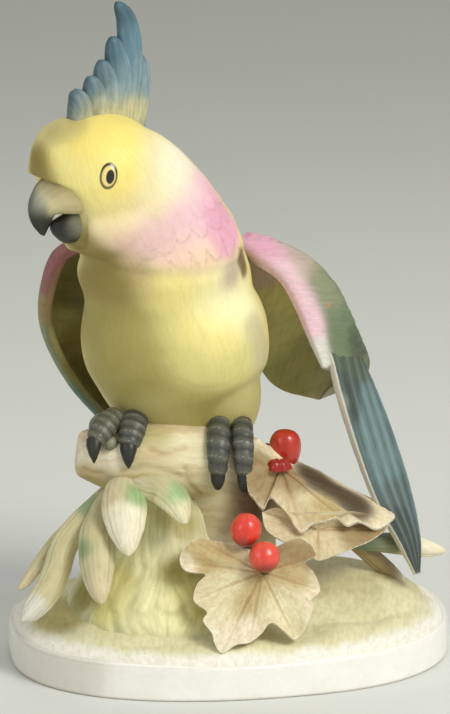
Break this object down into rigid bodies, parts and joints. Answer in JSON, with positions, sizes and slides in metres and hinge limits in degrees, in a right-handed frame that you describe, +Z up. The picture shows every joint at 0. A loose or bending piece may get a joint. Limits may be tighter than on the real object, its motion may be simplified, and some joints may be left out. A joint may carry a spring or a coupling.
{
  "type": "parrot figurine",
  "caption": "Hand-painted bisque porcelain figurine of a crested parrot with half-open wings, perched on a log with drooping leaves and berries, on an oval plinth.",
  "frame": {"origin": "middle of the plinth's foot, on the surface that it stands on", "axes": "+Z up, front of the figurine towards -Y, the bird's head towards -X"},
  "size_m": [0.1087, 0.079, 0.1621],
  "materials": {
    "bisque": "matt bisque, hand painted in yellow, pink, teal, green, beige and grey, with a satin white plinth edge"
  },
  "bodies": {
    "root": {"parrot_figurine": "bisque"}
  },
  "joints": []
}
